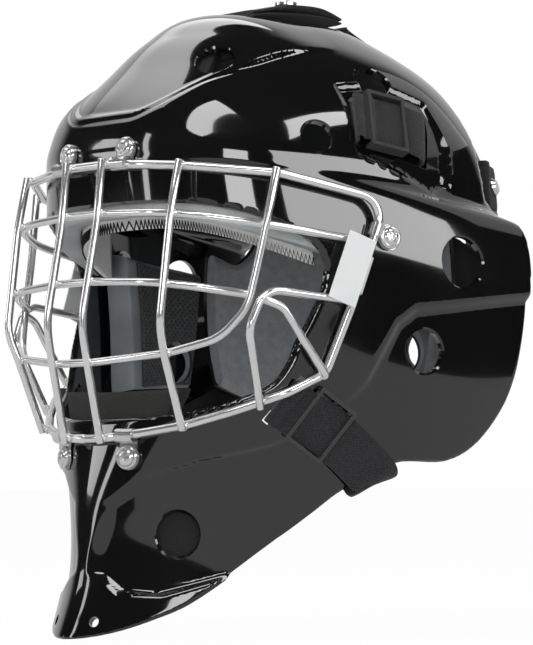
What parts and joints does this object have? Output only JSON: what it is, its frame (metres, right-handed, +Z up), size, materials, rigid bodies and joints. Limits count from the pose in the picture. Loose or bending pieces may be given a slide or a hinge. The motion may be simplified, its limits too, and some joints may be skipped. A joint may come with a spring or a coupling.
{
  "type": "hockey goalie mask",
  "caption": "Full-head goalie mask: moulded shell with vents, welded wire face cage on clips, foam and terry padding, webbing straps with sliders, and a hinged padded back plate.",
  "frame": {"origin": "on the mid plane, level with the eyes, between the wearer's ears", "axes": "-Y is the way the wearer faces, +Z is up through the crown, +X is the wearer's left"},
  "size_m": [0.2248, 0.2449, 0.311],
  "materials": {
    "shell_black": "gloss moulded",
    "cage_steel": "polished wire",
    "clip_steel": "plated",
    "tag_white": "satin film",
    "foam_grey": "closed-cell foam",
    "foam_black": "closed-cell foam",
    "terry_white": "looped terry",
    "liner_mesh": "perforated",
    "webbing": "woven",
    "slider_grey": "satin moulded",
    "plate_black": "satin moulded",
    "pad_brown": "soft foam"
  },
  "bodies": {
    "mask": {"shell": "shell_black", "cage_frame": "cage_steel", "brow_bar": "cage_steel", "eye_bar": "cage_steel", "muzzle_bar": "cage_steel", "centre_bars": "cage_steel", "outer_bars": "cage_steel", "corner_bars": "cage_steel", "corner_braces": "cage_steel", "cage_tags": "tag_white", "forehead_clips": "clip_steel", "chin_clips": "clip_steel", "side_clips": "clip_steel", "clip_screws": "clip_steel", "clip_nuts": "clip_steel", "forehead_pad": "foam_grey", "sweatband": "terry_white", "crown_pad": "foam_black", "temple_pads": "foam_black", "cheek_pads": "foam_grey", "cheek_liners": "liner_mesh", "jaw_pads": "pad_brown", "jaw_vent_pads": "foam_black", "chin_pad": "pad_brown", "upper_straps": "webbing", "lower_straps": "webbing", "top_strap": "webbing", "strap_snap": "clip_steel", "side_elastics": "webbing", "neck_elastics": "webbing"},
    "rear_plate": {"back_plate": "plate_black", "back_plate_pad": "foam_grey", "hinge_strap": "webbing", "plate_rivets": "clip_steel"},
    "slider_upper_left": {"upper_slider_left": "slider_grey"},
    "slider_upper_right": {"upper_slider_right": "slider_grey"},
    "slider_lower_left": {"lower_slider_left": "slider_grey"},
    "slider_lower_right": {"lower_slider_right": "slider_grey"}
  },
  "joints": [
    {"name": "back_plate_swing", "type": "hinge", "parent": "mask", "child": "rear_plate", "pos_m": [0, 0.005, 0.1285], "axis": [1, 0, 0], "range_deg": [0, 22], "stiffness_Nm_per_rad": 1.5, "springref_deg": -14.32, "deforming": ["side_elastics", "neck_elastics"]},
    {"name": "upper_slider_left_slide", "type": "slide", "parent": "mask", "child": "slider_upper_left", "axis": [0.1201, 0.9802, -0.1577], "range_m": [-0.003, 0.003]},
    {"name": "upper_slider_right_slide", "type": "slide", "parent": "mask", "child": "slider_upper_right", "axis": [-0.1201, 0.9802, -0.1577], "range_m": [-0.003, 0.003]},
    {"name": "lower_slider_left_slide", "type": "slide", "parent": "mask", "child": "slider_lower_left", "axis": [0.2791, 0.7615, -0.585], "range_m": [0, 0.003]},
    {"name": "lower_slider_right_slide", "type": "slide", "parent": "mask", "child": "slider_lower_right", "axis": [-0.2791, 0.7615, -0.585], "range_m": [0, 0.003]}
  ]
}
